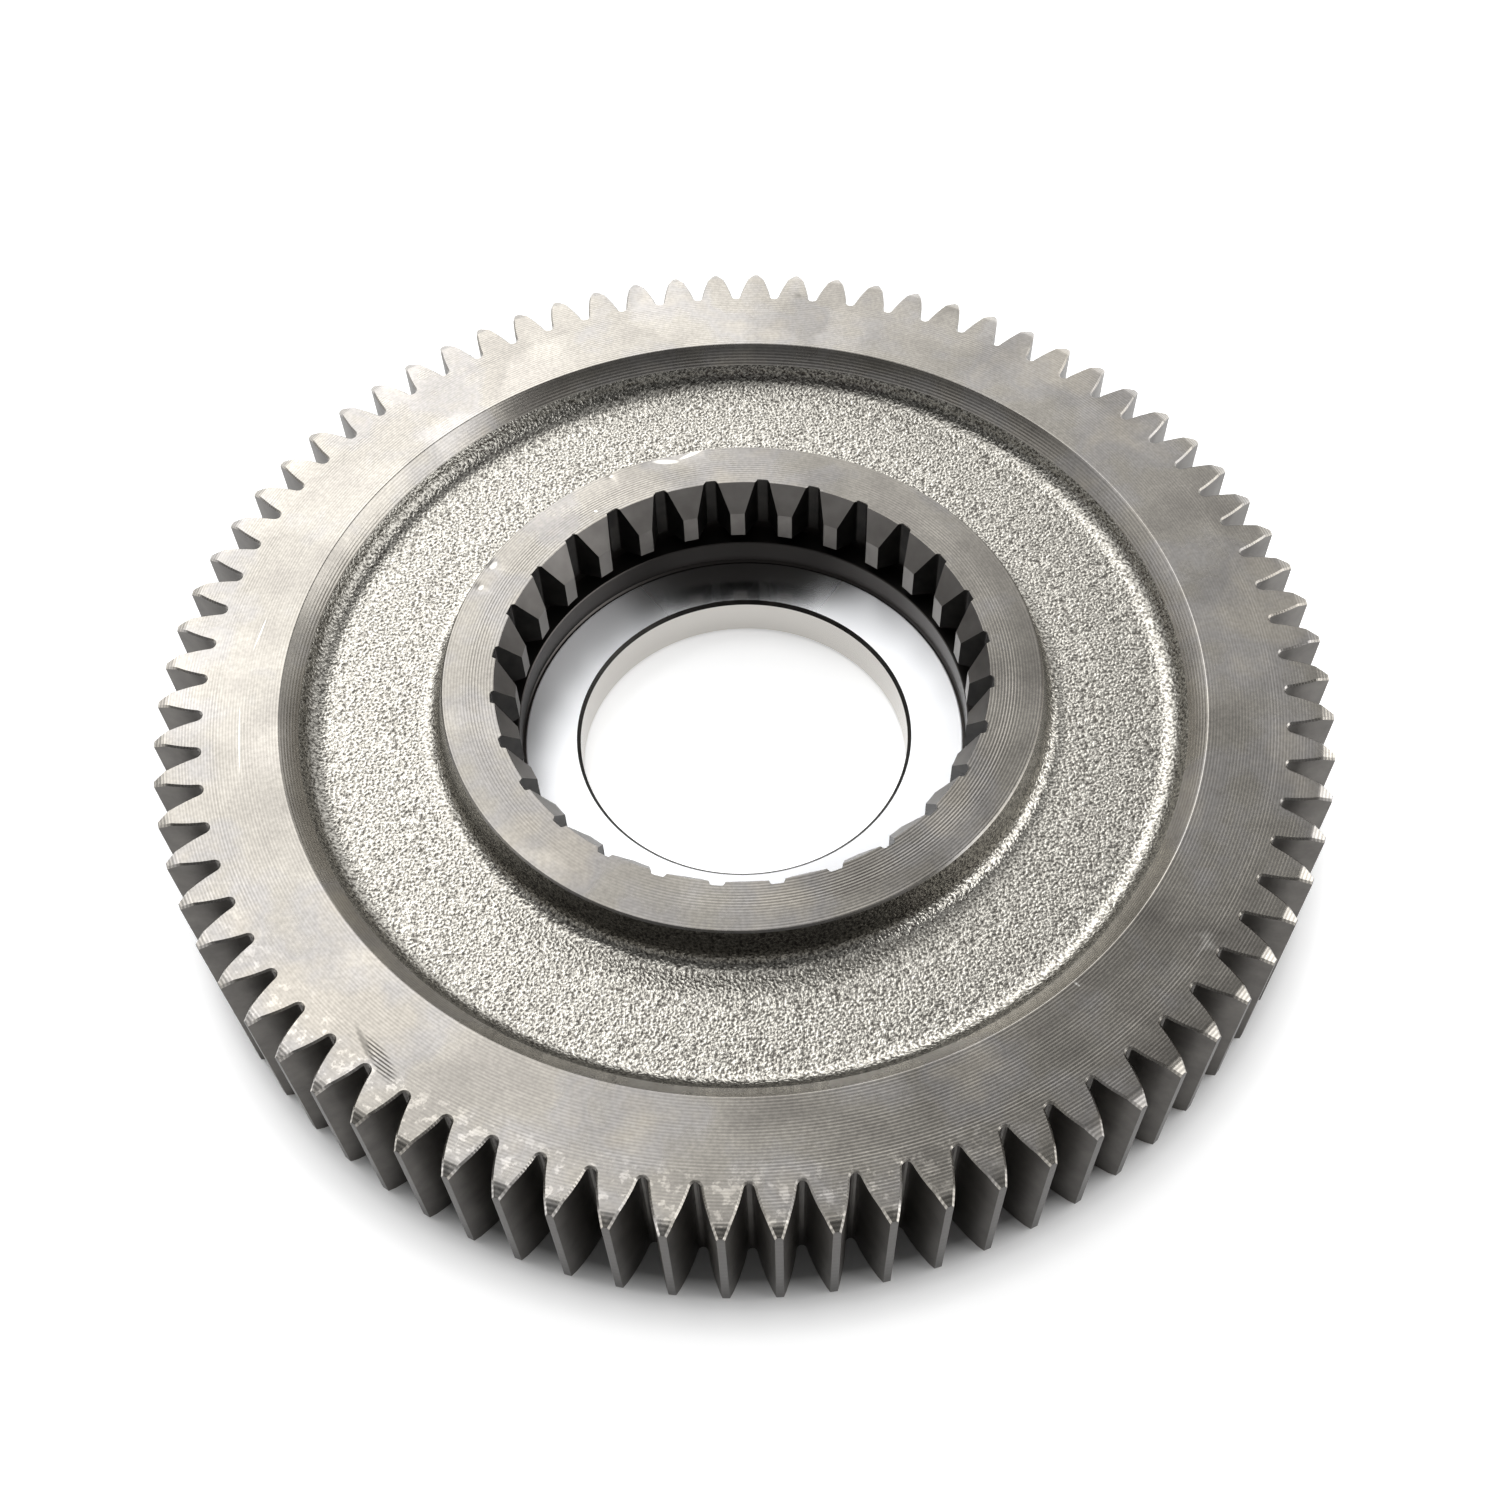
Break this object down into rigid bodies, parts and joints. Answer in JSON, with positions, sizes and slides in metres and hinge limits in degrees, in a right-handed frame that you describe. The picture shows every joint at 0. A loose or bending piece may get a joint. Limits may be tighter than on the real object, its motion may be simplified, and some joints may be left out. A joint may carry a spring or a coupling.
{
  "type": "transmission gear",
  "caption": "Steel spur gear for a heavy gearbox, with a dished web, a flush hub, internal clutch teeth with a lead-in cone, a polished thrust face and a plain bore.",
  "frame": {"origin": "on the gear's axis, in the plane of the lower face of the rim, which the gear lies on", "axes": "+Z along the gear's axis, towards the side with the clutch teeth; +X through the middle of a tooth space"},
  "size_m": [0.2498, 0.2498, 0.035],
  "materials": {
    "gear_steel": "turned faces, shot-blasted forged web, ground and polished thrust face"
  },
  "bodies": {
    "root": {"transmission_gear": "gear_steel"}
  },
  "joints": []
}
